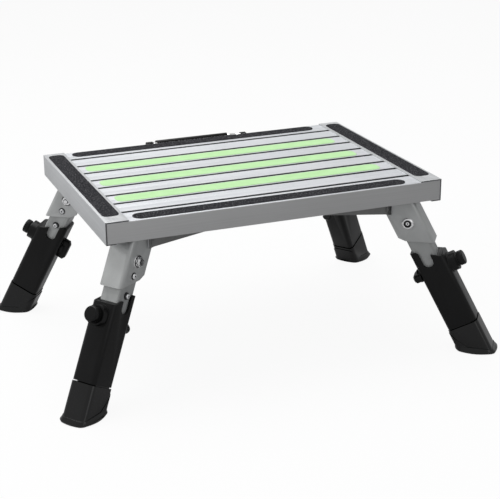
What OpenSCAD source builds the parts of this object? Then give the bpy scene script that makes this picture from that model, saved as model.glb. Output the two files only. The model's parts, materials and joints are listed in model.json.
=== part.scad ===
// Folding caravan entry step with four splayed telescoping legs.
// The origin lies on the ground under the middle of the deck, +X to the right,
// +Y to the back, where the carrying handle is.

/* [Deck] */
// Width of the deck over its end caps
deck_w = 483; // [440:1:540]
// Depth of the deck from front to back
deck_d = 343; // [325:1:380]
// Height of the deck frame
deck_h = 31; // [29:0.5:36]
// Number of planks, front and rear ones included
plank_count = 9; // [9:2:9]
// Gap between two planks
plank_gap = 5; // [3:0.5:7]
// Height of a plank's section
plank_h = 16; // [14:0.5:18]
// Wall of the plank section
plank_wall = 2; // [1.6:0.1:2.2]
// Radius of a plank's long edges
plank_edge_r = 1.2; // [0.6:0.1:1.6]
// Width of the lips under a plank
plank_lip = 5; // [4:0.5:7]
// Width of the lip under the front and rear skirts
skirt_lip = 4; // [3.5:0.1:4.5]

/* [End caps] */
// Sheet of the end caps
cap_sheet = 1.5; // [1.2:0.1:1.8]
// Width of an end cap's top flange
cap_top_w = 31.5; // [29:0.5:36]
// Width of an end cap's bottom flange
cap_bottom_w = 14; // [11:0.5:15]

/* [Grip tapes and glow strips] */
// Thickness of the grip tape
tape_t = 0.8; // [0.5:0.1:1.2]
// Width of the tapes on the front and rear planks
deck_tape_w = 22; // [16:0.5:24]
// Bare plank between the left cap and the tapes and glow strips
tape_end_left = 9.5; // [4:0.5:20]
// Bare plank between the right cap and the tapes and glow strips
tape_end_right = 18.5; // [9:0.5:30]
// Distance of those tapes from the deck's front and rear edges
deck_tape_inset = 4; // [2:0.5:7]
// Width of the tape on an end cap
cap_tape_w = 23; // [18:0.5:25]
// Bare cap in front of that tape
cap_tape_front = 24; // [15:0.5:40]
// Bare cap behind that tape
cap_tape_rear = 12; // [8:0.5:30]
// Distance of that tape from the cap's outer edge
cap_tape_inset = 4; // [3:0.5:5]
// Corner radius of that tape
cap_tape_r = 8; // [3:0.5:9]
// Thickness of a glow strip
glow_t = 0.5; // [0.3:0.1:1]
// Width of a glow strip
glow_w = 26; // [18:0.5:28]
// Corner radius of a glow strip
glow_r = 9; // [3:0.5:9]

/* [Stance] */
// Height of the deck's top above the ground
step_height = 251; // [236:1:270]
// Angle between a leg and the vertical
splay = 28; // [26:0.5:29]
// Distance of a leg's pivot from the deck's end
pivot_end_gap = 33.5; // [32.5:0.5:37.5]
// Distance of a leg's pivot from the deck's front or rear edge
pivot_side_gap = 26; // [25.5:0.5:29]
// Height of the deck's top above a leg's pivot
pivot_drop = 62; // [61:0.5:66]
// Angle through which a leg folds up under the deck
fold_angle = 118; // [90:1:118]

/* [Cross plate] */
// Sheet of the cross plate under the planks
plate_sheet = 3; // [2:0.5:4]
// Depth of the plate's folded-down walls
plate_wall_h = 30; // [26:0.5:31]
// Reach of a plate arm past the leg's pivot
arm_past_pivot = 5; // [3:0.5:6]
// Distance before the pivot at which the walls start to spread
spread_start = 32; // [31.5:0.5:36]
// Angle at which the walls spread towards the middle
spread_angle = 14.5; // [13.5:0.5:16]
// Distance before the pivot at which the walls end on the brackets
wall_short = 23; // [22:0.5:23]

/* [Leg brackets] */
// Sheet of the folded leg bracket
bracket_sheet = 3.5; // [2.5:0.1:4]
// Bend radius of the bracket, outside
bracket_bend = 6; // [5:0.5:8]
// Height of the bracket's lower edge below the pivot
bracket_low = 27; // [25:0.5:28]
// Reach of the bracket's flanges inwards from the pivot
bracket_reach = 22; // [19:0.5:22.5]
// Length of the chamfer on the flanges' lower corners
bracket_chamfer = 8; // [4:0.5:10]
// Height of that chamfer
bracket_chamfer_h = 4; // [2:0.5:6]

/* [Leg tubes] */
// Side of the square leg tube
tube_side = 30; // [28:0.5:31]
// Wall of the leg tube
tube_wall = 2; // [1.5:0.1:3]
// Corner radius of the leg tube
tube_r = 3; // [2.1:0.1:4]
// Distance of the tube's lower end above the sleeve's
tube_short = 19; // [17:1:29]
// Pitch of the height holes in the tube
hole_pitch = 14; // [12:0.5:16]
// Number of height holes in the tube
hole_count = 5; // [4:1:5]

/* [Pivot bolts] */
// Radius of the pivot bolt
bolt_r = 4; // [3:0.25:5]
// Radius of the bolt's head and nut
bolt_head_r = 7.8; // [6.5:0.1:9]
// Height of the bolt's head
bolt_head_h = 5; // [3:0.5:6]

/* [Sleeves] */
// Width of the grip sleeve, across the fold
sleeve_w = 38; // [36.5:0.5:40]
// Depth of the grip sleeve, in the fold's plane
sleeve_d = 44; // [42:0.5:45]
// Shift of the sleeve's middle outwards from the tube's
sleeve_shift = 3; // [2.5:0.25:3.5]
// Corner radius of the sleeve
sleeve_r = 7; // [5:0.5:9]
// Distance from the pivot to the middle of the sleeve's rim
sleeve_top = 51.5; // [50:0.5:54]
// Radius of the finger notch in the sleeve's rim
notch_r = 7.5; // [6.5:0.5:8.5]
// Depth of the notch below the middle of the rim
notch_depth = 20.5; // [16:0.5:22]
// Height of the inner horn above the middle of the rim
horn = 7.5; // [4:0.5:8]

/* [Feet] */
// Length of the foot below the sleeve, along the leg
foot_len = 45; // [42:1:49]
// How far the foot boot stands proud of the sleeve
boot_proud = 0.7; // [0.3:0.1:1.5]
// Groove between the sleeve and the foot
foot_groove = 1.6; // [1:0.1:2.5]
// Extra width of the sole's lip on each side
lip_proud = 1.75; // [1:0.25:3]
// Height of the lip above the ground on the inner side
lip_inner_h = 16; // [12:0.5:18]
// Height of the lip above the ground along its sides
lip_side_h = 8.5; // [8:0.5:11]
// Height of the lip above the ground on the outer side
lip_outer_h = 7.5; // [7:0.5:8]
// Step between the lip along the sides and its rising inner part
lip_step = 0.1; // [0.1:0.05:0.5]
// Rounding of the sole's edge
sole_round = 6; // [4:0.5:6.5]
// Length of the spigot that plugs into the sleeve
spigot_len = 10; // [6:0.5:11]

/* [Buttons and knobs] */
// Distance from the pivot to the push button's axis
push_at = 81; // [79:0.5:86]
// Radius of the push button
push_r = 10.6; // [9:0.1:11]
// Radius of the boss around the push button
boss_r = 14.2; // [13:0.1:15]
// Height of the boss above the sleeve
boss_h = 10; // [8:0.5:12]
// How far the push button stands out of its boss
push_out = 11; // [9:0.5:14]
// Travel of the push button
push_travel = 5; // [3:0.5:6]
// Radius of the push button's lock pin
pin_r = 4; // [3:0.25:4.5]
// Distance from the pivot to the fold lock button
lock_at = 20; // [20:0.5:20.5]
// Radius of the lock buttons
lock_r = 4.7; // [4:0.1:4.7]
// How far a lock button stands out of its wall
lock_out = 2.6; // [2:0.1:3.5]
// Travel of a lock button
lock_travel = 3; // [2:0.5:3.5]
// Distance from the pivot to the stop button on the tube
stop_at = 47.5; // [46.5:0.5:48]
// How far the stop button stands out of the tube
stop_out = 4.2; // [3.5:0.1:5]
// Distance from the pivot to the clamp knob's axis
knob_at = 83; // [80:0.5:86]
// Length of the knob's wings, tip to tip
knob_len = 33; // [26:0.5:36]
// Width of the knob's wings
knob_w = 12; // [9:0.5:15]
// Radius of the knob's hub
knob_hub_r = 10; // [8:0.5:11]
// How far the knob stands out from the sleeve
knob_h = 12; // [9:0.5:13]
// Radius of the knob's clamp screw
knob_screw_r = 3; // [2.5:0.25:4]

/* [Handle] */
// Distance between the arms of the bail
bail_w = 132; // [110:1:150]
// Distance from the bail's pivot to the middle of the grip
bail_len = 27; // [26:0.5:29]
// Radius of the bail's wire
bail_r = 3; // [2.5:0.1:3.2]
// Bend radius of the bail, to the wire's middle
bail_bend = 7; // [5:0.5:9]
// Angle at which the bail droops below the level
bail_droop = 14; // [5:1:20]
// Radius of the grip
grip_r = 5; // [4.5:0.1:5.5]
// Shift of the handle to the right of the deck's middle
handle_shift = 5; // [0:0.5:6]
// Bend radius of the bail's turned-out ends, to the wire's middle
eye_bend = 4; // [3.7:0.1:4.5]
// Width of a handle ear
ear_w = 10; // [9:0.5:13]
// Depth of a handle ear behind the deck
ear_d = 12; // [11:0.5:13]
// Height of a handle ear
ear_h = 22; // [19:0.5:25]

/* [Fits] */
// Running gap between pieces that slide or turn past each other
run_gap = 0.3; // [0.3:0.05:0.4]
// Radial clearance of a pin or screw in its bore
pin_gap = 0.05; // [0.02:0.01:0.1]
// Gap between the leg tube and the sleeve's bore
sleeve_gap = 0.4; // [0.3:0.05:0.5]

/* [Hidden] */
LEG_NAMES = ["front_left", "rear_left", "front_right", "rear_right"];
// Turn of each clamp knob, as the four are left
KNOB_TURNS = [50, 0, 90, 30];
PIECES = ["bracket", "leg_tube", "sleeve", "foot", "push_button", "clamp_knob",
          "fold_button", "stop_button"];
SLAT_COUNT = plank_count - 2;

// The pivots, with each leg splayed along the line from the deck's middle to its pivot
pivot_x = deck_w / 2 - pivot_end_gap;
pivot_y = deck_d / 2 - pivot_side_gap;
pivot_reach = norm([pivot_x, pivot_y]);
leg_yaw = atan2(pivot_y, pivot_x);
LEG_YAWS = [180 + leg_yaw, 180 - leg_yaw, -leg_yaw, leg_yaw];

$fn = 64;
HULL_FN = 32;
FAR = 400;
OVER = 1;
KNOB_FN = 24;
DOME_RING = 0.1;

// Heights above the ground
deck_top = step_height;
plank_top = deck_top - cap_sheet;
plank_bottom = plank_top - plank_h;
skirt_bottom = deck_top - deck_h + cap_sheet;
pivot_z = deck_top - pivot_drop;
plate_bottom = plank_bottom - plate_sheet;
plate_edge = plank_bottom - plate_wall_h - plate_sheet;

// Sizes across the deck
plank_pitch = deck_d / plank_count;
plank_w = plank_pitch - plank_gap;
plank_len = deck_w - 2 * cap_sheet - 1;
plank_end_gap = 0.5;
first_y = deck_d / 2 - plank_pitch / 2;
rivet_x = deck_w / 2 - cap_top_w / 2;
deck_tape_len = deck_w - 2 * cap_top_w - tape_end_left - tape_end_right;
tape_shift = (tape_end_right - tape_end_left) / 2;
cap_tape_len = deck_d - cap_tape_front - cap_tape_rear;
cap_tape_back = (cap_tape_front - cap_tape_rear) / 2;

// Rivets and screws
rivet_r = 2;
rivet_head_r = 3.5;
rivet_head_h = 0.9;
rivet_tail_r = 3.2;
rivet_tail_h = 1.6;
lip_rivet_r = 1.6;
lip_tail_r = plank_lip / 2 - 0.3;
screw_r = 2;
screw_head_r = 3.8;
screw_head_h = 2.2;
hole_gap = 0.05;

// Leg geometry, from the pivot
half_tube = tube_side / 2;
bracket_in = half_tube + run_gap;
bracket_out = bracket_in + bracket_sheet;
web_out = half_tube + 2.5 + bracket_sheet;
tube_bore_r = bolt_r + pin_gap;
ground_drop = pivot_z;
sleeve_end = ground_drop / cos(splay) - foot_len;
tube_end = sleeve_end - tube_short;
half_sw = sleeve_w / 2;
sleeve_out = sleeve_d / 2 + sleeve_shift;
sleeve_in = sleeve_d / 2 - sleeve_shift;
sleeve_bore = tube_side + 2 * sleeve_gap;
nut_h = 6;
nut_flange_r = bolt_head_r;
nut_body_r = 5.4;

// Handle geometry
bail_pivot_y = deck_d / 2 + 6.5;
bail_pivot_z = deck_top - 5;
grip_half = bail_w / 2 - bail_bend + 0.5;
ear_over = 4.5;
ear_start = bail_w / 2 + eye_bend + 2.5;
ear_low = bail_pivot_z + ear_over - ear_h;

// Places a child at a leg's pivot, turned to the leg's yaw, still upright
module at_pivot(i) {
    rotate([0, 0, LEG_YAWS[i]])
        translate([pivot_reach, 0, pivot_z])
            children();
}

// Leg frame: +X outwards across the leg, +Y along the pivot, -Z down the leg
module at_leg(i) {
    at_pivot(i)
        rotate([0, -splay, 0])
            children();
}

// Rectangle with true round corners, centred
module round_rect(w, d, r) {
    square([w - 2 * r, d], center = true);
    square([w, d - 2 * r], center = true);
    for (x = [-1, 1], y = [-1, 1])
        translate([x * (w / 2 - r), y * (d / 2 - r)])
            circle(r);
}

// Cylinder along +Y from y0 to y1
module y_rod(r, y0, y1) {
    translate([0, y1, 0])
        rotate([90, 0, 0])
            cylinder(r = r, h = y1 - y0);
}

// Cylinder along +X from x0 to x1
module x_rod(r, x0, x1) {
    translate([x0, 0, 0])
        rotate([0, 90, 0])
            cylinder(r = r, h = x1 - x0);
}

// Domed button along +Y: a rod with a spherical cap on a narrow flat ring, up to y1
module y_button(r, y0, y1, dome) {
    cap_r = r - DOME_RING;
    ball = (cap_r * cap_r + dome * dome) / (2 * dome);
    y_rod(r, y0, y1 - dome);
    intersection() {
        y_rod(r, y1 - dome - DOME_RING / 2, y1 + OVER);
        translate([0, y1 - ball, 0])
            sphere(ball);
    }
}

// Section of a plank, open below, with its top at y = 0 and lips turned inwards
module plank_section() {
    difference() {
        union() {
            translate([-plank_w / 2, -plank_h])
                square([plank_w, plank_h - plank_edge_r]);
            translate([-plank_w / 2 + plank_edge_r, -plank_h])
                square([plank_w - 2 * plank_edge_r, plank_h]);
            for (x = [-1, 1])
                translate([x * (plank_w / 2 - plank_edge_r), -plank_edge_r])
                    circle(plank_edge_r, $fn = HULL_FN);
        }
        translate([-plank_w / 2 + plank_wall, -plank_h + plank_wall])
            square([plank_w - 2 * plank_wall, plank_h - 2 * plank_wall]);
        translate([-plank_w / 2 + plank_wall + plank_lip, -plank_h - OVER])
            square([plank_w - 2 * (plank_wall + plank_lip), plank_h / 2]);
    }
}

// Section of the front or rear plank: the outer edge carries a deep skirt with a lip
module skirt_section() {
    drop = plank_top - skirt_bottom;
    edge = plank_w / 2 + plank_gap / 2;
    cut = plank_w / 2 - plank_wall - plank_lip - 1;
    intersection() {
        plank_section();
        translate([-FAR, -FAR])
            square([FAR + cut, 2 * FAR]);
    }
    translate([cut - 1, -plank_wall])
        square([edge - plank_edge_r - cut + 1, plank_wall]);
    translate([edge - plank_edge_r, -plank_edge_r])
        circle(plank_edge_r, $fn = HULL_FN);
    translate([edge - plank_wall, -drop])
        square([plank_wall, drop - plank_edge_r]);
    translate([edge - skirt_lip, -drop])
        square([skirt_lip, plank_wall]);
}

// Holes for the end rivets of a plank
module plank_rivet_holes() {
    for (x = [-1, 1])
        translate([x * rivet_x, 0, plank_top - plank_wall - OVER])
            cylinder(r = rivet_r + hole_gap, h = plank_wall + 2 * OVER);
}

// Extrudes a plank section along the deck
module plank_body() {
    translate([-plank_len / 2, 0, plank_top])
        rotate([90, 0, 90])
            linear_extrude(plank_len)
                children();
}

// A narrow tread plank
module slat(i) {
    y = first_y - i * plank_pitch;
    color("silver")
        translate([0, y, 0])
            difference() {
                plank_body() plank_section();
                plank_rivet_holes();
                slat_plate_rivets(i, lip_rivet_r + hole_gap);
            }
}

// Plate rivets that go through the rear lip of plank i, as cylinders of radius r
module slat_plate_rivets(i, r) {
    k = (plank_count - 1) / 2 - i;
    y = k * plank_pitch;
    lip = plank_w / 2 - plank_wall - plank_lip / 2;
    x = max(abs(y), plank_pitch / 2) / tan(leg_yaw);
    if (abs(k) <= 3)
        for (s = [-1, 1])
            translate([s * x, lip, plate_bottom - OVER])
                cylinder(r = r, h = plate_sheet + plank_wall + 2 * OVER);
}

// Front or rear plank with its skirt, side = -1 at the front
module edge_plank(side) {
    color("silver")
        difference() {
            translate([0, side * first_y, 0])
                difference() {
                    mirror([0, side < 0 ? 1 : 0, 0])
                        plank_body() skirt_section();
                    plank_rivet_holes();
                }
            if (side > 0)
                handle_screw_holes();
        }
}

// C-shaped end cap that wraps the plank ends, side = -1 at the left
module end_cap(side) {
    rows = [for (i = [0:plank_count - 1]) first_y - i * plank_pitch];
    color("silver")
        difference() {
            union() {
                cap_slab(side, deck_top - cap_sheet, cap_top_w);
                cap_slab(side, deck_top - deck_h, cap_bottom_w);
                translate([side * (deck_w / 2 - cap_sheet / 2), 0, deck_top - deck_h / 2])
                    cube([cap_sheet, deck_d, deck_h], center = true);
            }
            for (y = rows) {
                translate([side * rivet_x, y, deck_top - cap_sheet - OVER])
                    cylinder(r = rivet_r + hole_gap, h = cap_sheet + 2 * OVER);
                translate([side * rivet_x, y, deck_top - rivet_head_h])
                    cylinder(r = rivet_head_r + hole_gap, h = rivet_head_h + OVER);
            }
        }
}

// One flange of an end cap
module cap_slab(side, z, w) {
    translate([side * (deck_w / 2 - w / 2), 0, z + cap_sheet / 2])
        cube([w, deck_d, cap_sheet], center = true);
}

// Flush rivets that hold the planks in the end caps, under the grip tape
module cap_rivets() {
    bottom = plank_top - plank_wall - rivet_tail_h;
    color("gainsboro")
        for (side = [-1, 1], i = [0:plank_count - 1])
            translate([side * rivet_x, first_y - i * plank_pitch, 0]) {
                translate([0, 0, bottom])
                    cylinder(r = rivet_r, h = deck_top - bottom);
                translate([0, 0, deck_top - rivet_head_h])
                    cylinder(r = rivet_head_r, h = rivet_head_h);
                translate([0, 0, bottom])
                    cylinder(r = rivet_tail_r, h = rivet_tail_h);
            }
}

// Grip tapes on the two end caps
module cap_tapes() {
    x = deck_w / 2 - cap_tape_inset - cap_tape_w / 2;
    color("dimgray")
        for (side = [-1, 1])
            translate([side * x, cap_tape_back, deck_top])
                linear_extrude(tape_t)
                    round_rect(cap_tape_w, cap_tape_len, cap_tape_r);
}

// Grip tapes on the front and rear planks
module plank_tapes() {
    y = deck_d / 2 - deck_tape_inset - deck_tape_w / 2;
    color("dimgray")
        for (side = [-1, 1])
            translate([-tape_shift, side * y, plank_top])
                linear_extrude(tape_t)
                    round_rect(deck_tape_len, deck_tape_w, deck_tape_w / 2 - 0.01);
}

// Glow strips on every second slat
module glow_strips() {
    color("lightgreen")
        for (k = [-2, 0, 2])
            translate([-tape_shift, k * plank_pitch, plank_top])
                linear_extrude(glow_t)
                    round_rect(deck_tape_len, glow_w, glow_r);
}

// Outline of one arm of the cross plate, along +X, grown by extra on its sides
module arm_outline(extra) {
    tip = pivot_reach + arm_past_pivot;
    knee = pivot_reach - spread_start;
    root_half = bracket_out + knee * tan(spread_angle);
    polygon([
        [0, -root_half - extra],
        [knee, -bracket_out - extra],
        [tip, -bracket_out - extra],
        [tip, bracket_out + extra],
        [knee, bracket_out + extra],
        [0, root_half + extra]]);
}

// Star outline of the whole plate. Each arm keeps to its own sector
module plate_outline(extra) {
    for (i = [0:3])
        intersection() {
            rotate(LEG_YAWS[i]) arm_outline(extra);
            translate([i < 2 ? -FAR : 0, i % 2 == 0 ? -FAR : 0])
                square(FAR);
        }
}

// Cross plate under the planks, with walls folded down along its edges
module cross_plate() {
    wall_h = plate_wall_h + plate_sheet;
    color("darkgray")
        difference() {
            translate([0, 0, plate_edge])
                linear_extrude(wall_h)
                    plate_outline(plate_sheet);
            translate([0, 0, plate_edge - OVER])
                linear_extrude(plate_wall_h + OVER)
                    plate_outline(0);
            for (i = [0:3])
                rotate([0, 0, LEG_YAWS[i]])
                    translate([pivot_reach - wall_short, -FAR / 2, plate_edge - OVER])
                        cube([FAR, FAR, plate_wall_h + OVER]);
            for (i = [1:SLAT_COUNT])
                translate([0, first_y - i * plank_pitch, 0])
                    slat_plate_rivets(i, lip_rivet_r + hole_gap);
            for (i = [0:3])
                bracket_rivet_rods(i, rivet_r + hole_gap);
        }
}

// Rivets that hold the cross plate to the planks' lips
module plate_rivets() {
    lip = plank_w / 2 - plank_wall - plank_lip / 2;
    color("gainsboro")
        for (i = [1:SLAT_COUNT]) {
            k = (plank_count - 1) / 2 - i;
            y = k * plank_pitch;
            x = max(abs(y), plank_pitch / 2) / tan(leg_yaw);
            for (s = [-1, 1])
                translate([s * x, y + lip, plate_bottom - rivet_tail_h]) {
                    cylinder(r = lip_rivet_r, h = rivet_tail_h + plate_sheet + plank_wall);
                    cylinder(r = rivet_head_r, h = rivet_tail_h);
                    translate([0, 0, rivet_tail_h + plate_sheet + plank_wall])
                        cylinder(r = lip_tail_r, h = rivet_tail_h);
                }
        }
}

// Where the rivets through plate wall and bracket flange lie, from the pivot
rivet_u = -wall_short - 5.5;
rivet_up = pivot_drop - cap_sheet - plank_h - plate_sheet - plate_wall_h + 7.5;

// Rods of radius r through both walls and both flanges of leg i
module bracket_rivet_rods(i, r) {
    for (side = [-1, 1])
        at_pivot(i)
            translate([rivet_u, 0, rivet_up])
                mirror([0, side < 0 ? 1 : 0, 0])
                    y_rod(r, bracket_in - OVER, bracket_out + plate_sheet + OVER);
}

// Rivets that hold the brackets between the walls of the cross plate
module bracket_rivets() {
    color("gainsboro")
        for (i = [0:3], side = [-1, 1])
            at_pivot(i)
                translate([rivet_u, 0, rivet_up])
                    mirror([0, side < 0 ? 1 : 0, 0]) {
                        y_rod(rivet_r, bracket_in, bracket_out + plate_sheet + rivet_tail_h);
                        y_rod(rivet_tail_r, bracket_out + plate_sheet,
                              bracket_out + plate_sheet + rivet_tail_h);
                    }
}

// U section of a bracket: web outwards, open towards the deck's middle
module bracket_section() {
    inner_r = bracket_bend - bracket_sheet;
    difference() {
        bracket_half_round(web_out, bracket_out, bracket_bend, bracket_reach);
        bracket_half_round(web_out - bracket_sheet, bracket_in, inner_r, bracket_reach + OVER);
    }
}

// Block from x = -back to x = front, with its two front corners rounded
module bracket_half_round(front, half, r, back) {
    translate([-back, -half])
        square([front + back - r, 2 * half]);
    translate([-back, -half + r])
        square([front + back, 2 * half - 2 * r]);
    for (y = [-1, 1])
        translate([front - r, y * (half - r)])
            circle(r);
}

// Folded U bracket that carries a leg's pivot, cut level above and below
module bracket(i) {
    top = plate_bottom - pivot_z;
    corner = (bracket_low - bracket_reach * sin(splay)) * tan(splay) - bracket_reach * cos(splay);
    tilt = atan2(bracket_chamfer_h, bracket_chamfer + bracket_chamfer_h * tan(splay));
    color("darkgray")
        difference() {
            at_pivot(i)
                intersection() {
                    rotate([0, -splay, 0])
                        translate([0, 0, -FAR / 2])
                            linear_extrude(FAR)
                                bracket_section();
                    translate([-FAR / 2, -FAR / 2, -bracket_low])
                        cube([FAR, FAR, top + bracket_low]);
                }
            at_leg(i) {
                y_rod(tube_bore_r, -FAR / 2, FAR / 2);
                translate([0, 0, -lock_at])
                    y_rod(lock_r + run_gap, 0, FAR / 2);
            }
            at_pivot(i)
                translate([corner + bracket_chamfer, 0, -bracket_low])
                    rotate([0, tilt, 0])
                        translate([-FAR, -FAR / 2, -FAR])
                            cube(FAR);
            bracket_rivet_rods(i, rivet_r + hole_gap);
        }
}

// Outline of the sleeve, grown on all sides
module sleeve_outline(grow) {
    translate([sleeve_shift, 0])
        round_rect(sleeve_d + 2 * grow, sleeve_w + 2 * grow, sleeve_r + grow);
}

// Pivot bolts with domed heads on the button side
module pivot_bolts() {
    color("gainsboro")
        for (i = [0:3])
            at_leg(i) {
                y_rod(bolt_r, -bracket_out - nut_h - 0.5, bracket_out);
                y_button(bolt_head_r, bracket_out, bracket_out + bolt_head_h, bolt_head_h * 0.6);
            }
}

// Flanged lock nuts on the other side
module pivot_nuts() {
    color("gainsboro")
        for (i = [0:3])
            at_leg(i)
                difference() {
                    union() {
                        y_rod(nut_flange_r, -bracket_out - 1.6, -bracket_out);
                        translate([0, -bracket_out, 0])
                            rotate([90, 0, 0])
                                cylinder(r = nut_body_r * 2 / sqrt(3), h = nut_h, $fn = 6);
                    }
                    y_rod(bolt_r + hole_gap, -bracket_out - nut_h - OVER, -bracket_out + OVER);
                }
}

// Square leg tube, its top rounded about the pivot
module leg_tube(i) {
    inside = tube_side - 2 * tube_wall;
    color("darkgray")
        at_leg(i)
            difference() {
                union() {
                    translate([0, 0, -tube_end])
                        linear_extrude(tube_end)
                            round_rect(tube_side, tube_side, tube_r);
                    y_rod(half_tube, -half_tube, half_tube);
                }
                translate([0, 0, -tube_end - OVER])
                    linear_extrude(tube_end + half_tube + 2 * OVER)
                        round_rect(inside, inside, tube_r - tube_wall);
                y_rod(tube_bore_r, -FAR / 2, FAR / 2);
                translate([0, 0, -lock_at])
                    y_rod(lock_r + run_gap, 0, FAR / 2);
                translate([0, 0, -stop_at])
                    y_rod(lock_r + run_gap, 0, FAR / 2);
                for (k = [0:hole_count - 1])
                    translate([0, 0, -push_at - k * hole_pitch])
                        x_rod(pin_r + run_gap, 0, half_tube + OVER);
            }
}

// Domed button that sits in the bracket's flange and locks the unfolded leg
module fold_button(i) {
    color("gainsboro")
        at_leg(i)
            translate([0, 0, -lock_at])
                y_button(lock_r, bracket_in + 0.1, bracket_out + lock_out, lock_out);
}

// Domed stop button in the leg tube, with the flange that keeps it in
module stop_button(i) {
    wall_in = half_tube - tube_wall;
    color("gainsboro")
        at_leg(i)
            translate([0, 0, -stop_at]) {
                y_button(lock_r, wall_in - run_gap, half_tube + stop_out, lock_out);
                y_rod(lock_r + 1.6, wall_in - run_gap - 1.2, wall_in - run_gap);
            }
}

// Cut that shapes the sleeve's slanting rim, as a side view in x and -z
module rim_cut() {
    inner = sleeve_top - horn;
    slope = tan(splay);
    polygon([
        [-FAR, 0],
        [-FAR, -inner],
        [-notch_r - 4, -inner],
        [-notch_r, -sleeve_top + notch_r * slope],
        [notch_r, -sleeve_top - notch_r * slope],
        [sleeve_out - 5, -sleeve_top - (sleeve_out - 5) * slope],
        [sleeve_out - 1, -sleeve_top - (sleeve_out - 4) * slope],
        [FAR, -sleeve_top - (sleeve_out - 4) * slope],
        [FAR, 0]]);
}

// Plastic grip sleeve with its slanting rim, finger notches and button boss
module sleeve(i) {
    color("black")
        at_leg(i)
            difference() {
                union() {
                    translate([0, 0, -sleeve_end])
                        linear_extrude(sleeve_end)
                            sleeve_outline(0);
                    translate([0, 0, -push_at]) {
                        x_rod(boss_r, sleeve_out - 4, sleeve_out + boss_h);
                        x_rod(boss_r + 1.2, sleeve_out - 4, sleeve_out + 1.5);
                    }
                }
                translate([0, 0, -sleeve_end - OVER])
                    linear_extrude(sleeve_end + 2 * OVER)
                        square(sleeve_bore, center = true);
                translate([0, FAR / 2, 0])
                    rotate([90, 0, 0])
                        linear_extrude(FAR)
                            rim_cut();
                translate([0, 0, -sleeve_top - notch_depth + notch_r]) {
                    y_rod(notch_r, -FAR / 2, FAR / 2);
                    translate([-notch_r, -FAR / 2, 0])
                        cube([2 * notch_r, FAR, FAR]);
                }
                translate([0, 0, -push_at]) {
                    x_rod(push_r + run_gap, sleeve_out + 0.6, sleeve_out + boss_h + OVER);
                    x_rod(pin_r + run_gap, 0, sleeve_out + OVER);
                }
                translate([0, 0, -knob_at])
                    x_rod(knob_screw_r + pin_gap, -sleeve_in - OVER, 0);
            }
}

// Half section of a push button: a groove above the boss and a rounded rim
module button_profile(low, high, round) {
    groove = sleeve_out + boss_h + 1.5;
    square_at(push_r, low, groove);
    square_at(push_r - 1, groove, groove + 1.5);
    square_at(push_r, groove + 1.5, high - round);
    square_at(push_r - round, high - round - 1, high);
    translate([push_r - round, high - round])
        circle(round, $fn = HULL_FN);
}

// Rectangle from the axis out to r, between two heights
module square_at(r, low, high) {
    translate([0, low])
        square([r, high - low]);
}

// Push button with its lock pin, standing out of the boss
module push_button(i) {
    floor_x = sleeve_out + 0.6 + push_travel + run_gap;
    end_x = sleeve_out + boss_h + push_out;
    round = 2.5;
    color("black")
        at_leg(i)
            translate([0, 0, -push_at]) {
                rotate([0, 90, 0])
                    rotate_extrude()
                        button_profile(floor_x, end_x, round);
                x_rod(pin_r, half_tube + push_travel + run_gap, floor_x + OVER);
            }
}

// Clamp knob with two wings on the sleeve's inner side, and its screw
module clamp_knob(i) {
    base = -sleeve_in - run_gap;
    wing_h = knob_h * 0.72;
    color("black")
        at_leg(i)
            translate([0, 0, -knob_at]) {
                x_rod(knob_hub_r, base - knob_h * 0.45, base);
                rotate([KNOB_TURNS[i], 0, 0])
                    translate([base, 0, 0])
                        rotate([0, -90, 0])
                            hull() {
                                linear_extrude(knob_h - 3)
                                    round_rect(knob_len, knob_w, knob_w / 2 - 0.5, $fn = KNOB_FN);
                                linear_extrude(knob_h)
                                    round_rect(knob_len - 9, knob_w - 3, knob_w / 2 - 2, $fn = KNOB_FN);
                            }
                x_rod(knob_screw_r, base - wing_h / 2, -half_tube - run_gap);
            }
}

// Level outline of the boot at a height above the ground, in the upright frame
module level_slice(height, grow) {
    drop = ground_drop - height;
    translate([drop * tan(splay), 0, -drop])
        linear_extrude(0.1)
            scale([1 / cos(splay), 1])
                sleeve_outline(grow, $fn = HULL_FN);
}

// Part of the leg's grown outline inside a side view, drawn in u and height
module lip_part(points, proud) {
    intersection() {
        rotate([0, -splay, 0])
            translate([0, 0, -ground_drop * 2])
                linear_extrude(ground_drop * 2)
                    sleeve_outline(proud, $fn = HULL_FN);
        translate([(ground_drop * sin(splay) + sleeve_shift) / cos(splay), FAR / 2, -ground_drop])
            rotate([90, 0, 0])
                linear_extrude(FAR)
                    polygon(points);
    }
}

// Rubber foot: a boot below the sleeve, a lip that rises on the inner side, a level sole
module foot(i) {
    spigot = sleeve_bore - 2 * hole_gap;
    half = sleeve_d / cos(splay) / 2;
    slope = (lip_side_h - lip_outer_h) / 2 / half;
    color("black")
        at_pivot(i) {
            intersection() {
                rotate([0, -splay, 0]) {
                    translate([0, 0, -ground_drop * 2])
                        linear_extrude(ground_drop * 2 - sleeve_end - foot_groove)
                            sleeve_outline(boot_proud);
                    translate([0, 0, -sleeve_end - foot_groove - OVER])
                        linear_extrude(spigot_len + foot_groove + OVER)
                            square(spigot, center = true);
                }
                translate([-FAR / 2, -FAR / 2, -ground_drop + sole_round])
                    cube([FAR * 2, FAR, FAR]);
            }
            hull() {
                lip_part([
                    [-2 * half, sole_round],
                    [-2 * half, lip_side_h + slope * half],
                    [2 * half, lip_outer_h - slope * half],
                    [2 * half, sole_round]], lip_proud);
                for (a = [30, 60, 90])
                    level_slice(sole_round * (1 - sin(a)), lip_proud - sole_round * (1 - cos(a)));
            }
            lip_part([
                [-2 * half, lip_side_h - OVER],
                [-2 * half, 3 * lip_inner_h - 2 * lip_side_h],
                [-half / 2, lip_side_h],
                [-half / 2, lip_side_h - OVER]], lip_proud - lip_step);
        }
}

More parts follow.
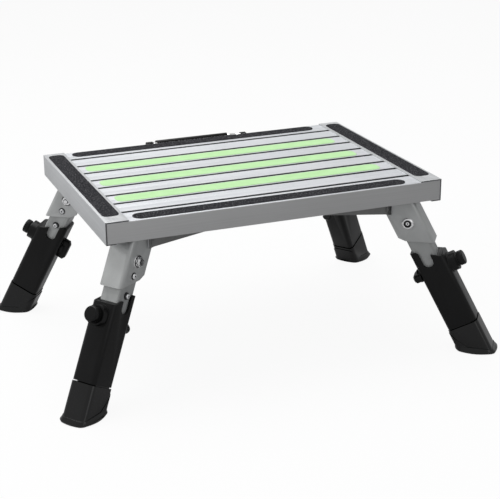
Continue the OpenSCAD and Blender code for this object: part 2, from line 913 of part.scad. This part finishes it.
// Wire bail: two arms, the bar between them and the ends turned out into the ears
module bail_wire() {
    half = bail_w / 2;
    x_rod_pair(half + eye_bend, ear_start + ear_w - 2);
    for (s = [0, 1])
        mirror([s, 0, 0]) {
            translate([half, eye_bend, 0])
                y_rod(bail_r, 0, bail_len - bail_bend - eye_bend);
            translate([half + eye_bend, eye_bend, 0])
                rotate([0, 0, 180])
                    rotate_extrude(angle = 90)
                        translate([eye_bend, 0])
                            circle(bail_r, $fn = HULL_FN);
            translate([half - bail_bend, bail_len - bail_bend, 0])
                rotate_extrude(angle = 90)
                    translate([bail_bend, 0])
                        circle(bail_r, $fn = HULL_FN);
        }
    translate([0, bail_len, 0])
        x_rod(bail_r, -half + bail_bend, half - bail_bend);
}

// Wire ends on both sides, from x0 out to x1
module x_rod_pair(x0, x1) {
    for (s = [0, 1])
        mirror([s, 0, 0])
            x_rod(bail_r, x0, x1);
}

// Places a child in the bail's own frame, at its pivot
module at_bail() {
    translate([handle_shift, bail_pivot_y, bail_pivot_z])
        rotate([-bail_droop, 0, 0])
            children();
}

// Zinc wire bail
module handle_bail() {
    color("gainsboro") at_bail() bail_wire();
}

// Black grip over the bail's bar
module handle_grip() {
    color("black")
        at_bail()
            translate([0, bail_len, 0])
                difference() {
                    x_rod(grip_r, -grip_half, grip_half);
                    x_rod(bail_r + hole_gap, -grip_half - OVER, grip_half + OVER);
                }
}

// Ears on the rear skirt that carry the ends of the bail
module handle_ears() {
    color("black")
        translate([handle_shift, deck_d / 2, 0])
            difference() {
                for (s = [0, 1])
                    mirror([s, 0, 0])
                        translate([ear_start, 0, ear_low])
                            rotate([90, 0, 90])
                                linear_extrude(ear_w)
                                    ear_section();
                translate([0, bail_pivot_y - deck_d / 2, bail_pivot_z])
                    x_rod(bail_r + pin_gap, -ear_start - ear_w + 1, ear_start + ear_w - 1);
                translate([-handle_shift, -deck_d / 2, 0])
                    handle_screw_holes();
            }
}

// Side view of an ear: flat back on the skirt, round nose at the wire
module ear_section() {
    square([ear_d - ear_over, ear_h]);
    square([ear_d, ear_h - ear_over]);
    translate([ear_d - ear_over, ear_h - ear_over])
        circle(ear_over);
}

// Places a child on each handle screw's axis, at the skirt's face, looking out
module at_handle_screws() {
    for (s = [-1, 1])
        translate([handle_shift + s * (ear_start + ear_w / 2), deck_d / 2, ear_low + 5])
            rotate([-90, 0, 0])
                children();
}

// Holes for the screws through ears and skirt
module handle_screw_holes() {
    at_handle_screws()
        translate([0, 0, -plank_wall - OVER])
            cylinder(r = screw_r + hole_gap, h = ear_d + plank_wall + 2 * OVER);
}

// Screws that hold the ears, with their nuts inside the skirt
module handle_screws() {
    color("gainsboro")
        at_handle_screws() {
            translate([0, 0, -plank_wall - 3])
                cylinder(r = screw_r, h = ear_d + plank_wall + 3);
            translate([0, 0, ear_d])
                cylinder(r = screw_head_r, h = screw_head_h);
            translate([0, 0, -plank_wall - 3])
                cylinder(r = screw_head_r, h = 3, $fn = 6);
        }
}

edge_plank(1);  // rear_plank
edge_plank(-1);  // front_plank
for (i = [1:SLAT_COUNT])
    slat(i);
end_cap(-1);  // left_cap
end_cap(1);  // right_cap
cap_rivets();
cap_tapes();
plank_tapes();
glow_strips();
cross_plate();
plate_rivets();
bracket_rivets();
pivot_bolts();
pivot_nuts();
handle_ears();
handle_bail();
handle_grip();
handle_screws();
for (i = [0:3]) {
    bracket(i);
    leg_tube(i);
    sleeve(i);
    foot(i);
    push_button(i);
    clamp_knob(i);
    fold_button(i);
    stop_button(i);
}
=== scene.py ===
import json
from math import radians

import bpy
from mathutils import Matrix, Vector


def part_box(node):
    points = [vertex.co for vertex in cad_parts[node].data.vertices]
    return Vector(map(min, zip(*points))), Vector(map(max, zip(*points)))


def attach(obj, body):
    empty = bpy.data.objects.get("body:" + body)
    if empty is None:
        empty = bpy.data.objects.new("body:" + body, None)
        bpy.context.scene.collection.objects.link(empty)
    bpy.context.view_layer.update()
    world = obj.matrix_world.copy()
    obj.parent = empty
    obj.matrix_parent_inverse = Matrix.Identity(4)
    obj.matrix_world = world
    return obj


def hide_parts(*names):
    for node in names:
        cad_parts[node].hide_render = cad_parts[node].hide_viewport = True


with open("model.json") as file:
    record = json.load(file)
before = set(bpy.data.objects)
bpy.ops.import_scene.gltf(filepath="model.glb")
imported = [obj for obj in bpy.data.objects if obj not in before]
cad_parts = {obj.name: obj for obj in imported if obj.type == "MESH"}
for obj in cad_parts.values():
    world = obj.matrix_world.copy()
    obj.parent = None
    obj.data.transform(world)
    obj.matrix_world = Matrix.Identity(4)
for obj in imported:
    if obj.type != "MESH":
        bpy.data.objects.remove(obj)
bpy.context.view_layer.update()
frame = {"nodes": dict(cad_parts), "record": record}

nodes = frame["nodes"]
scene = bpy.context.scene
bpy.ops.object.select_all(action="DESELECT")


# Floor and surroundings: a plain pale sheet under the step and an even, slightly cool sky.
# The floor shows nearly white to the camera and keeps a faint shadow under the feet.
scene.view_settings.view_transform = "Standard"


class Wire:
    """One socket of a material, so that shader sums read as plain arithmetic."""

    def __init__(self, tree, socket=None):
        self.tree = tree
        self.socket = socket

    def plug(self, value, target):
        if isinstance(value, Wire):
            self.tree.links.new(value.socket, target)
        else:
            target.default_value = value

    def add(self, kind, settings=None, sockets=None, out=0):
        node = self.tree.nodes.new(kind)
        for key, value in (settings or {}).items():
            setattr(node, key, value)
        for key, value in (sockets or {}).items():
            self.plug(value, node.inputs[key])
        return Wire(self.tree, node.outputs[out])

    def sum(self, operation, first, second=0.0):
        return self.add("ShaderNodeMath", {"operation": operation}, {0: first, 1: second})

    def __add__(self, other):
        return self.sum("ADD", self, other)

    __radd__ = __add__

    def __sub__(self, other):
        return self.sum("SUBTRACT", self, other)

    def __rsub__(self, other):
        return self.sum("SUBTRACT", other, self)

    def __mul__(self, other):
        return self.sum("MULTIPLY", self, other)

    def clip(self, low, high):
        settings = {"clamp": True}
        sockets = {"Value": self, "From Min": low, "From Max": high}
        return self.add("ShaderNodeMapRange", settings, sockets)

    def blend(self, dark, light):
        sockets = {0: self, 6: dark, 7: light}
        return self.add("ShaderNodeMix", {"data_type": "RGBA"}, sockets, 2)


def new_material(name):
    """An empty material with its output, and a wire to build on."""
    material = bpy.data.materials.new(name)
    material.use_nodes = True
    material.node_tree.nodes.clear()
    return material, Wire(material.node_tree)


def finish_surface(wire, shader):
    output = wire.tree.nodes.new("ShaderNodeOutputMaterial")
    wire.tree.links.new(shader.socket, output.inputs["Surface"])


def shown_white(wire, direct, mirrored):
    """How much plain white a background shows to the camera and in reflections."""
    return wire.add("ShaderNodeLightPath", out=0) * direct + wire.add("ShaderNodeLightPath", out=3) * mirrored


floor_material, wire = new_material("pale_floor")
floor_white = wire.add("ShaderNodeEmission", None, {"Color": (1, 1, 1, 1), "Strength": 1.0})
floor_paper = wire.add("ShaderNodeBsdfDiffuse", None, {"Color": (0.98, 0.98, 0.98, 1)})
floor_shown = wire.add("ShaderNodeMixShader", None, {0: 0.93, 1: floor_paper, 2: floor_white})
floor_matt = wire.add("ShaderNodeBsdfDiffuse", None, {"Color": (0.42, 0.42, 0.425, 1)})
finish_surface(wire, wire.add("ShaderNodeMixShader", None,
                              {0: shown_white(wire, 1.0, 0.25), 1: floor_matt, 2: floor_shown}))

bpy.ops.mesh.primitive_plane_add(size=14, location=(0, 0, -0.0002))
floor = bpy.context.object
floor.name = "pale_floor"
bpy.ops.object.transform_apply(location=True)
floor.data.materials.append(floor_material)

world = bpy.data.worlds.new("even_sky")
scene.world = world
world.use_nodes = True
world.node_tree.nodes.clear()
wire = Wire(world.node_tree)
sky = wire.add("ShaderNodeBackground", None, {"Color": (0.96, 0.98, 1, 1), "Strength": 0.22})
blank = wire.add("ShaderNodeBackground", None, {"Color": (1, 1, 1, 1), "Strength": 1.0})
mixed = wire.add("ShaderNodeMixShader", None, {0: shown_white(wire, 1.0, 0.4), 1: sky, 2: blank})
world_out = world.node_tree.nodes.new("ShaderNodeOutputWorld")
world.node_tree.links.new(mixed.socket, world_out.inputs["Surface"])


# Lamps: one broad soft lamp over the deck, one from the left and a weak one from the front.
# The deck's top is the brightest, the left cap is lighter than the front skirt, whose colour also holds
# painted shade.
def soft_lamp(name, place, target, size, power):
    bpy.ops.object.light_add(type="AREA", location=place)
    lamp = bpy.context.object
    lamp.name = name
    lamp.data.size = size
    lamp.data.energy = power
    lamp.rotation_euler = (Vector(target) - Vector(place)).to_track_quat("-Z", "Y").to_euler()
    return lamp


soft_lamp("lamp_over_deck", (-0.3, 0.6, 2.4), (0, 0, 0.2), 2.2, 45)
left_lamp = soft_lamp("lamp_left", (-2.3, -0.3, 1.1), (0, 0, 0.15), 1.5, 18)
left_lamp.visible_glossy = False
soft_lamp("lamp_front", (0.6, -2.6, 1.3), (0, 0, 0.15), 1.4, 4)


# Camera: a long lens in front of the step, a little to its left and above the deck.
# The shift puts the deck and the feet where the photograph has them.
bpy.ops.object.camera_add(location=(-0.64949, -1.72173, 0.79454), rotation=(1.202105, 0.020025, -0.344236))
camera = bpy.context.object
camera.name = "photo_camera"
camera.data.lens = 95.42
camera.data.sensor_width = 36
camera.data.shift_x = 0.0882
camera.data.shift_y = 0.0514
scene.camera = camera
bpy.ops.object.select_all(action="DESELECT")


# Planks and slats: extruded aluminium, brushed along its length, rivetted under the end caps.
# Fine lines run along the deck, with a soft cloudiness and a few deeper scratches.
def object_point(wire, scale):
    place = wire.add("ShaderNodeTexCoord", out=3)
    return wire.add("ShaderNodeMapping", None, {"Vector": place, "Scale": scale})


def noise(wire, place, scale, detail=2.0, rough=0.5):
    sockets = {"Vector": place, "Scale": scale, "Detail": detail, "Roughness": rough}
    return wire.add("ShaderNodeTexNoise", None, sockets)


def brushed_metal(name, dark, light, grain, metallic=0.25, rough=0.5, depth=0.12):
    """A metal brushed along one axis: grain gives the stretch of the lines along X, Y and Z."""
    material, wire = new_material(name)
    lines = noise(wire, object_point(wire, grain), 1.0, 3.0, 0.6)
    hair = noise(wire, object_point(wire, tuple(3 * g for g in grain)), 1.0, 1.0)
    cloud = noise(wire, object_point(wire, (1, 1, 1)), 9.0, 3.0)
    tone = (lines * 0.55 + hair * 0.2 + cloud * 0.35).clip(0.35, 0.75)
    worn = (lines * 0.7 + cloud * 0.3).clip(0.3, 0.7)
    bump = wire.add("ShaderNodeBump", None, {"Strength": depth, "Distance": 0.0002, "Height": lines + hair})
    sockets = {"Base Color": tone.blend(dark, light), "Metallic": metallic,
               "Roughness": worn * 0.14 + (rough - 0.07), "Normal": bump}
    finish_surface(wire, wire.add("ShaderNodeBsdfPrincipled", None, sockets))
    return material


def take(piece):
    """Selects one piece alone and makes it the active one."""
    bpy.ops.object.select_all(action="DESELECT")
    bpy.context.view_layer.objects.active = piece
    piece.select_set(True)


def dress(material, *names):
    """Gives a solid of the model its finish."""
    for name in names:
        mesh = nodes[name].data
        mesh.materials.clear()
        mesh.materials.append(material)


def body_of(name):
    """The moving body that a solid belongs to."""
    bodies = frame["record"]["behaviour"]["bodies"]
    return next(body for body, members in bodies.items() if name in members)


def slot_of(name):
    """The record's material slot of a solid."""
    return next(part["material_slot"] for part in frame["record"]["subparts"] if part["node"] == name)


def broken_edges(name, width, segments=2, corner=30):
    """A copy of a solid with its sharp edges broken, which stands for the solid itself."""
    piece = bpy.data.objects.new(name + "_finished", nodes[name].data.copy())
    scene.collection.objects.link(piece)
    take(piece)
    bpy.ops.object.mode_set(mode="EDIT")
    bpy.ops.mesh.select_all(action="SELECT")
    bpy.ops.mesh.remove_doubles(threshold=0.000004)
    bpy.ops.mesh.dissolve_limited(angle_limit=radians(0.6))
    bpy.ops.object.mode_set(mode="OBJECT")
    bevel = piece.modifiers.new("broken_edges", "BEVEL")
    bevel.width = width
    bevel.segments = segments
    bevel.limit_method = "ANGLE"
    bevel.angle_limit = radians(corner)
    bpy.ops.object.modifier_apply(modifier=bevel.name)
    bpy.ops.object.shade_smooth_by_angle(angle=radians(32))
    piece.select_set(False)
    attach(piece, body_of(name))
    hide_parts(name)
    slot_of(name)
    return piece


along_deck = (4, 700, 700)
plank_metal = brushed_metal("brushed_aluminium", (0.68, 0.70, 0.73, 1), (0.82, 0.83, 0.85, 1),
                            along_deck, depth=0.08)
# Painted shade: the side faces inside the gaps between slats get a near-black tone for the shade that falls
# in the gaps.
gap_shade_metal = brushed_metal("dull_gap_side", (0.045, 0.05, 0.05, 1), (0.09, 0.095, 0.095, 1),
                          along_deck, 0.2)
# Painted shade: faces that look to the front or the back get a darker copy of the deck's aluminium, for the
# skirts getting less light than the top.
skirt_shade_metal = brushed_metal("satin_skirt", (0.56, 0.56, 0.56, 1), (0.65, 0.65, 0.65, 1),
                            along_deck, depth=0.05)
plank_names = ["front_plank", "rear_plank", *[name for name in nodes if name.startswith("slat_")]]
dress(plank_metal, *plank_names)
between_caps = 0.23
between_skirts = 0.16
for name in plank_names:
    plank = broken_edges(name, 0.0006)
    plank.data.materials.append(gap_shade_metal)
    plank.data.materials.append(skirt_shade_metal)
    for face in plank.data.polygons:
        # Side faces in the gaps get the painted shade of the gaps.
        in_gap = abs(face.center.y) < between_skirts and abs(face.center.x) < between_caps
        if in_gap and abs(face.normal.y) > 0.3:
            face.material_index = 1
        # Faces that look to the front or back get the skirts' painted shade.
        elif abs(face.normal.y) > 0.8:
            face.material_index = 2


# End caps: folded aluminium channels, brushed across the deck and fixed with flush rivets.
# The brushing follows their length, so the lines run from front to back.
cap_metal = brushed_metal("brushed_end_cap", (0.52, 0.53, 0.54, 1), (0.69, 0.70, 0.71, 1), (700, 4, 700))
dress(cap_metal, "left_cap", "right_cap")
# Painted shade: the caps' end faces at the front and back get a near-black tone, for the dark seam of shade
# where each cap meets the skirts.
cap_end_shade_metal = brushed_metal("sawn_cap_end", (0.09, 0.09, 0.095, 1), (0.17, 0.17, 0.175, 1),
                           (300, 300, 300), 0.2)
near_cap_end = 0.165
for name in ("left_cap", "right_cap"):
    cap = broken_edges(name, 0.0003)
    cap.data.materials.append(cap_end_shade_metal)
    for face in cap.data.polygons:
        if abs(face.normal.y) > 0.6 and abs(face.center.y) > near_cap_end:
            face.material_index = 1
rivet_metal = brushed_metal("rivet_metal", (0.6, 0.6, 0.61, 1), (0.78, 0.78, 0.79, 1), (160, 160, 160))
dress(rivet_metal, "cap_rivets", "plate_rivets")


# Grip tapes: charcoal mineral grit bonded to a tape, cut with round ends and stuck to the metal.
# Bright specks painted into the colour are a painted highlight for single grains catching the light, and the
# binder is darker between them.
def gritty_tape(name):
    material, wire = new_material(name)
    place = object_point(wire, (1, 1, 1))
    grain = wire.add("ShaderNodeTexVoronoi", None, {"Vector": place, "Scale": 950.0})
    fine = noise(wire, place, 1700.0, 2.0, 0.7)
    patch = noise(wire, place, 45.0, 3.0)
    grit = (1 - grain * 1.3) * 0.55 + fine * 0.45
    tone = (grit * 0.8 + patch * 0.25).clip(0.25, 0.95)
    bump = wire.add("ShaderNodeBump", None, {"Strength": 0.65, "Distance": 0.0005, "Height": grit})
    # Painted highlight: sparse bright specks in the colour for grains that catch the light.
    painted_glint = noise(wire, place, 640.0, 1.0, 0.4).clip(0.58, 0.68)
    coated = tone.blend((0.010, 0.010, 0.012, 1), (0.040, 0.040, 0.046, 1))
    sockets = {"Base Color": painted_glint.blend(coated, (0.16, 0.16, 0.17, 1)),
               "Roughness": 0.96 - grit * 0.25, "Specular IOR Level": 0.12, "Normal": bump}
    finish_surface(wire, wire.add("ShaderNodeBsdfPrincipled", None, sockets))
    return material


dress(gritty_tape("grip_tape"), "cap_tapes", "plank_tapes")


# Glow strips: pale green film that stores light, stuck on every second slat.
# It is slightly mottled, with a soft satin surface.
glow_material, wire = new_material("glow_film")
place = object_point(wire, (1, 1, 1))
mottle = (noise(wire, place, 60.0, 3.0) * 0.6 + noise(wire, place, 900.0, 1.0) * 0.4).clip(0.3, 0.7)
bump = wire.add("ShaderNodeBump", None, {"Strength": 0.15, "Distance": 0.0002, "Height": mottle})
sockets = {"Base Color": mottle.blend((0.53, 0.88, 0.41, 1), (0.64, 0.98, 0.52, 1)),
           "Roughness": 0.5 + mottle * 0.12, "Normal": bump}
finish_surface(wire, wire.add("ShaderNodeBsdfPrincipled", None, sockets))
dress(glow_material, "glow_strips")


# Brackets, leg tubes and cross plate: folded and square steel with a slightly mottled grey satin coat.
# The plate is riveted under the planks, and each tube turns on a bolt in its bracket.
def coated_steel(name, dark, light, rough=0.42, metallic=0.15):
    material, wire = new_material(name)
    place = object_point(wire, (1, 1, 1))
    cloud = noise(wire, place, 22.0, 4.0, 0.6)
    speck = noise(wire, place, 1400.0, 2.0, 0.6)
    tone = (cloud * 0.7 + speck * 0.3).clip(0.3, 0.7)
    bump = wire.add("ShaderNodeBump", None, {"Strength": 0.1, "Distance": 0.0002, "Height": speck})
    sockets = {"Base Color": tone.blend(dark, light), "Metallic": metallic,
               "Roughness": rough - 0.06 + cloud * 0.12, "Normal": bump}
    finish_surface(wire, wire.add("ShaderNodeBsdfPrincipled", None, sockets))
    return material


LEGS = ["front_left", "rear_left", "front_right", "rear_right"]
# Painted shade: the tubes' coat is a darker copy of the brackets' grey, for the shade the brackets cast on
# the tubes.
tube_shade_steel = coated_steel("coated_tube", (0.42, 0.43, 0.425, 1), (0.50, 0.51, 0.505, 1))
bracket_steel = coated_steel("coated_bracket", (0.49, 0.50, 0.495, 1), (0.61, 0.62, 0.615, 1), 0.32, 0.3)
# Painted shade: the cross plate's coat is a much darker copy of the same grey, for the shade under the deck.
plate_shade_steel = coated_steel("coated_plate", (0.20, 0.20, 0.195, 1), (0.29, 0.29, 0.285, 1))
dress(tube_shade_steel, *[leg + "_leg_tube" for leg in LEGS])
dress(bracket_steel, *[leg + "_bracket" for leg in LEGS])
dress(plate_shade_steel, "cross_plate")
broken_edges("cross_plate", 0.0006)
for leg in LEGS:
    broken_edges(leg + "_bracket", 0.0007)
    broken_edges(leg + "_leg_tube", 0.0003)


# Welds: the brackets are welded to the ends of the cross plate's walls with a short bead each,
# and through a plug hole in each wall that was filled and coated over.
def turned(name, sides, rings):
    """A closed piece drawn upwards ring by ring, each ring a radius and a height in millimetres."""
    rings = [(radius / 1000, height / 1000) for radius, height in rings]
    bpy.ops.object.select_all(action="DESELECT")
    bpy.ops.mesh.primitive_circle_add(vertices=sides, radius=rings[0][0], fill_type="NGON",
                                      location=(0, 0, rings[0][1]))
    piece = bpy.context.object
    piece.name = name
    bpy.ops.object.transform_apply(location=True)
    bpy.ops.object.mode_set(mode="EDIT")
    bpy.ops.mesh.select_all(action="SELECT")
    for (before, low), (after, high) in zip(rings, rings[1:]):
        bpy.ops.mesh.extrude_region_move(TRANSFORM_OT_translate={"value": (0, 0, high - low)})
        bpy.ops.transform.resize(value=(after / before, after / before, 1), center_override=(0, 0, high))
    bpy.ops.mesh.select_all(action="SELECT")
    bpy.ops.mesh.normals_make_consistent(inside=False)
    bpy.ops.object.mode_set(mode="OBJECT")
    bpy.ops.object.shade_smooth_by_angle(angle=radians(34))
    return piece


def repeat(piece, name):
    """A copy of a piece with its own mesh."""
    twin = bpy.data.objects.new(name, piece.data.copy())
    scene.collection.objects.link(twin)
    return twin


joints = {joint["name"]: joint for joint in frame["record"]["behaviour"]["joints"]}


def place_for_good(piece, matrix):
    """Moves the mesh itself, so that the piece's object stays at the origin."""
    piece.matrix_world = matrix
    take(piece)
    bpy.ops.object.transform_apply(location=True, rotation=True, scale=True)
    piece.select_set(False)


def seat(piece, leg, way, reach, up=0.0, out=0.0, level=False):
    """Puts a piece made upright at the origin onto a side of a leg's pivot. Way is 1 on the button side."""
    side = Vector(joints[leg + "_fold"]["axis"]) * -1
    along = Vector((0, 0, 1)) if level else Vector(joints[leg + "_extend"]["axis"]) * -1
    outwards = side.cross(along)
    middle = Vector(joints[leg + "_fold"]["pos_m"]) + side * way * reach + along * up + outwards * out
    turn = Matrix((outwards, along * -way, side * way)).transposed()
    place_for_good(piece, Matrix.Translation(middle) @ turn.to_4x4())


weld_steel = coated_steel("weld_steel", (0.46, 0.46, 0.47, 1), (0.66, 0.66, 0.67, 1), 0.34, 0.5)
wall_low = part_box("cross_plate")[0][2]
bead_inwards = 0.0229
bead_aside = 0.0196
plug_aside = 0.0218
plug_inwards = 0.0285
plug_height = wall_low + 0.0075
ripples = [(0.5, 0)]
for ripple in range(20):
    ripples += [(1.2, 1.4 * ripple + 0.5), (0.95, 1.4 * ripple + 1.2)]
bead = turned("weld_bead", 10, ripples + [(0.4, 28.6)])
bead.data.materials.append(weld_steel)
plug = turned("weld_plug", 24, [(2.0, -6.4), (2.0, 0), (1.9, 0.12), (1.2, 0.2), (0.1, 0.22)])
# The plugs take the plate's coat with its painted shade.
plug.data.materials.append(plate_shade_steel)
for leg in LEGS:
    pivot = Vector(joints[leg + "_fold"]["pos_m"])
    fold_axis = Vector(joints[leg + "_fold"]["axis"])
    inwards = Vector((-pivot.x, -pivot.y, 0)).normalized()
    for way, side_name in ((1, "button_side"), (-1, "nut_side")):
        side_bead = repeat(bead, f"{leg}_weld_{side_name}")
        start = pivot + inwards * bead_inwards - fold_axis * way * bead_aside
        place_for_good(side_bead, Matrix.Translation((start.x, start.y, wall_low + 0.0006)))
        side_plug = repeat(plug, f"{leg}_plug_{side_name}")
        seat(side_plug, leg, way, plug_aside, plug_height - pivot.z, -plug_inwards, True)
        for piece in (side_bead, side_plug):
            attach(piece, "deck")
            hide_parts("bracket_rivets")
for model in (bead, plug):
    bpy.data.objects.remove(model)


# Pivot bolts and nuts: zinc-plated steel, a round head with a ring-shaped recess on one side of each leg
# and a flanged hex nut on the button side, with the end of the bolt standing out of it.
def off_axis(face):
    """How far a face lies from the axis that a turned piece was made around."""
    return (face.center.x ** 2 + face.center.y ** 2) ** 0.5


bracket_side = 0.0188
zinc = brushed_metal("zinc_plate", (0.93, 0.93, 0.94, 1), (0.99, 0.99, 0.99, 1),
                     (160, 160, 160), 0.95, 0.1, 0.02)
# Painted shade: a near-black steel tone for the shade in the bolt head's recess, the thread grooves, the
# nut's groove and the holes around the buttons.
shade_black = brushed_metal("blacked_steel", (0.012, 0.012, 0.014, 1), (0.03, 0.03, 0.033, 1),
                        (90, 90, 90), 0.2, 0.4, 0.02)
threads = [(2.9, -45.4), (3.8, -44.6)]
for turn_count in range(4):
    threads += [(3.2, -44.1 + 0.9 * turn_count), (3.8, -43.65 + 0.9 * turn_count)]
head = [(3.8, -0.2), (3.8, 0), (8.6, 0), (8.6, 1.6), (8.3, 2.9), (7.6, 3.8), (6.8, 4.4), (5.9, 4.6)]
recess = [(5.5, 4.4), (5.3, 3.8), (5.2, 2.0), (2.9, 2.0)]
middle_pin = [(2.75, 3.3), (2.4, 3.7), (1.6, 3.9), (1.1, 3.8), (0.9, 3.1), (0.1, 3.0)]
bolt = turned("pivot_bolt", 40, threads + head + recess + middle_pin)
bolt.data.materials.append(zinc)
bolt.data.materials.append(shade_black)
for face in bolt.data.polygons:
    radius = off_axis(face)
    # The ring recess and centre of each bolt head and the downward thread flanks get the painted shade.
    in_recess = (0.0028 < radius < 0.0054 or radius < 0.0009) and 0 < face.center.z < 0.0042
    in_thread = face.center.z < -0.0399 and face.normal.z < -0.1 and radius > 0.0033
    if in_recess or in_thread:
        face.material_index = 1

nut = turned("flanged_nut", 40, [(8.6, 0), (8.6, 0.9), (8.3, 1.3), (6.6, 1.9), (3.9, 1.9)])
hexagon = turned("hexagon", 6, [(6.6, 0.6), (6.9, 1.2), (6.9, 4.9), (6.2, 5.6), (4.0, 5.6)])
take(nut)
hexagon.select_set(True)
bpy.ops.object.join()
nut.data.materials.append(zinc)
nut.data.materials.append(shade_black)
for face in nut.data.polygons:
    # The groove between the nut's flange and hexagon gets the painted shade.
    if 0.0013 < face.center.z < 0.002 and off_axis(face) > 0.0062:
        face.material_index = 1
for leg in LEGS:
    for model, name, way in ((bolt, "_pivot_bolt", -1), (nut, "_pivot_nut", 1)):
        piece = repeat(model, leg + name)
        seat(piece, leg, way, bracket_side)
        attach(piece, "deck")
        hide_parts("pivot_bolts", "pivot_nuts")
for model in (bolt, nut):
    bpy.data.objects.remove(model)


# Lock and stop buttons: turned and polished steel, pushed out by a leaf spring inside the tube.
# The lock button's dome stands in a wider hole, and each has a small centre mark from the lathe.
polished = brushed_metal("polished_dome", (0.74, 0.75, 0.77, 1), (0.9, 0.9, 0.91, 1),
                         (90, 90, 90), 0.95, 0.16, 0.02)
tube_side = 0.015
lock_height = -0.020
stop_height = -0.0475
lock_dome = turned("lock_dome", 40, [
    (4.7, -3.4), (4.7, -2.9), (3.9, -2.8), (3.9, 0.9), (3.75, 1.5), (3.3, 2.05), (2.6, 2.4), (1.7, 2.58),
    (1.25, 2.6), (1.1, 2.0), (0.2, 1.9)])
stop_dome = turned("stop_dome", 40, [
    (6.0, -3.2), (6.0, -2.3), (4.5, -2.3), (4.5, 1.5), (4.3, 1.9), (3.4, 2.0), (3.35, 3.2), (3.1, 3.7),
    (2.5, 4.05), (1.7, 4.18), (1.2, 4.2), (1.05, 3.6), (0.2, 3.5)])
# Each dome's collar and shank down in its hole and its centre mark get the painted shade, for the dark ring
# of shade around the dome.
for model, shank in ((lock_dome, 0.0003), (stop_dome, 0.00196)):
    model.data.materials.append(polished)
    model.data.materials.append(shade_black)
    for face in model.data.polygons:
        if face.center.z < shank or off_axis(face) < 0.0012:
            face.material_index = 1
for leg in LEGS:
    for model, part, reach, up in ((lock_dome, "_fold_button", bracket_side, lock_height),
                                   (stop_dome, "_stop_button", tube_side, stop_height)):
        piece = repeat(model, leg + part + "_dome")
        seat(piece, leg, 1, reach, up)
        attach(piece, body_of(leg + part))
        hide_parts(leg + part)
for model in (lock_dome, stop_dome):
    bpy.data.objects.remove(model)


# Handle: a bent zinc-plated wire with a rubber grip, in two moulded ears screwed to the rear plank's skirt.
# The right ear is cut low over the wire, so that its pin shows, and the left one covers it.
def black_moulding(name, tone, rough, grain, depth, gloss):
    material, wire = new_material(name)
    place = object_point(wire, (1, 1, 1))
    fine = noise(wire, place, grain, 2.0, 0.6)
    smear = noise(wire, place, 28.0, 3.0, 0.55)
    shade = (fine * 0.4 + smear * 0.6).clip(0.3, 0.7)
    dark = (tone * 0.75, tone * 0.75, tone * 0.78, 1)
    light = (tone * 1.3, tone * 1.3, tone * 1.33, 1)
    bump = wire.add("ShaderNodeBump", None, {"Strength": depth, "Distance": 0.0003, "Height": fine})
    sockets = {"Base Color": shade.blend(dark, light), "Roughness": smear * 0.16 + (rough - 0.08),
               "Specular IOR Level": gloss, "Normal": bump}
    finish_surface(wire, wire.add("ShaderNodeBsdfPrincipled", None, sockets))
    return material


sleeve_plastic = black_moulding("black_plastic", 0.005, 0.34, 1500.0, 0.12, 0.22)
dress(zinc, "handle_screws", "handle_bail")
dress(sleeve_plastic, "handle_ears")
dress(black_moulding("grip_rubber", 0.003, 0.3, 1200.0, 0.1, 0.2), "handle_grip")
broken_edges("handle_grip", 0.0008, 3)
ears = broken_edges("handle_ears", 0.0006)
swing = Vector(joints["handle_swing"]["pos_m"])
above_pin = swing.z + 0.0031
take(ears)
bpy.ops.object.mode_set(mode="EDIT")
bpy.ops.mesh.select_mode(type="VERT")
bpy.ops.mesh.select_all(action="DESELECT")
bpy.ops.object.mode_set(mode="OBJECT")
for vertex in ears.data.vertices:
    vertex.select = vertex.co.x > swing.x and vertex.co.z > above_pin
bpy.ops.object.mode_set(mode="EDIT")
bpy.ops.transform.resize(value=(1, 1, 0.5), center_override=(0, 0, swing.z))
bpy.ops.object.mode_set(mode="OBJECT")
ears.select_set(False)


# Grip sleeves, push buttons and clamp knobs: black moulded plastic with a fine even grain.
# Each sleeve slides on its tube and carries its button and its knob.
dress(sleeve_plastic, *[leg + part for leg in LEGS for part in ("_sleeve", "_push_button", "_clamp_knob")])
for leg in LEGS:
    broken_edges(leg + "_sleeve", 0.0007, 3)
    broken_edges(leg + "_clamp_knob", 0.0006, 3)
    broken_edges(leg + "_push_button", 0.0004, 2)


# Feet: moulded rubber, smoother and glossier than the sleeves and pushed into their lower ends.
# Each sole is level and bulges a little at its sides.
foot_rubber = black_moulding("black_rubber", 0.004, 0.16, 900.0, 0.03, 0.42)
dress(foot_rubber, *[leg + "_foot" for leg in LEGS])
sole_top = 0.005
shortest_split = 0.006
for leg in LEGS:
    foot = broken_edges(leg + "_foot", 0.0008, 3, 24)
    take(foot)
    bpy.ops.object.mode_set(mode="EDIT")
    bpy.ops.mesh.select_mode(type="EDGE")
    bpy.ops.mesh.select_all(action="DESELECT")
    bpy.ops.object.mode_set(mode="OBJECT")
    for edge in foot.data.edges:
        ends = [foot.data.vertices[end].co for end in edge.vertices]
        edge.select = max(end.z for end in ends) < sole_top and (ends[0] - ends[1]).length > shortest_split
    bpy.ops.object.mode_set(mode="EDIT")
    bpy.ops.mesh.subdivide(number_cuts=7)
    bpy.ops.object.mode_set(mode="OBJECT")
    sole = [vertex.index for vertex in foot.data.vertices if vertex.co.z < sole_top]
    foot.vertex_groups.new(name="sole").add(sole, 1.0, "REPLACE")
    across = [foot.data.vertices[index].co.x for index in sole]
    deep = [foot.data.vertices[index].co.y for index in sole]
    centre = bpy.data.objects.new("sole_centre", None)
    scene.collection.objects.link(centre)
    centre.location = ((min(across) + max(across)) / 2, (min(deep) + max(deep)) / 2, 0)
    bpy.context.view_layer.update()
    crown = foot.modifiers.new("crowned_sole", "CAST")
    crown.cast_type = "CYLINDER"
    crown.factor = 0.45
    crown.radius = 0
    crown.size = 0.030
    crown.use_z = False
    crown.object = centre
    crown.vertex_group = "sole"
    bpy.ops.object.modifier_apply(modifier=crown.name)
    foot.vertex_groups.clear()
    bpy.data.objects.remove(centre)
    foot.select_set(False)
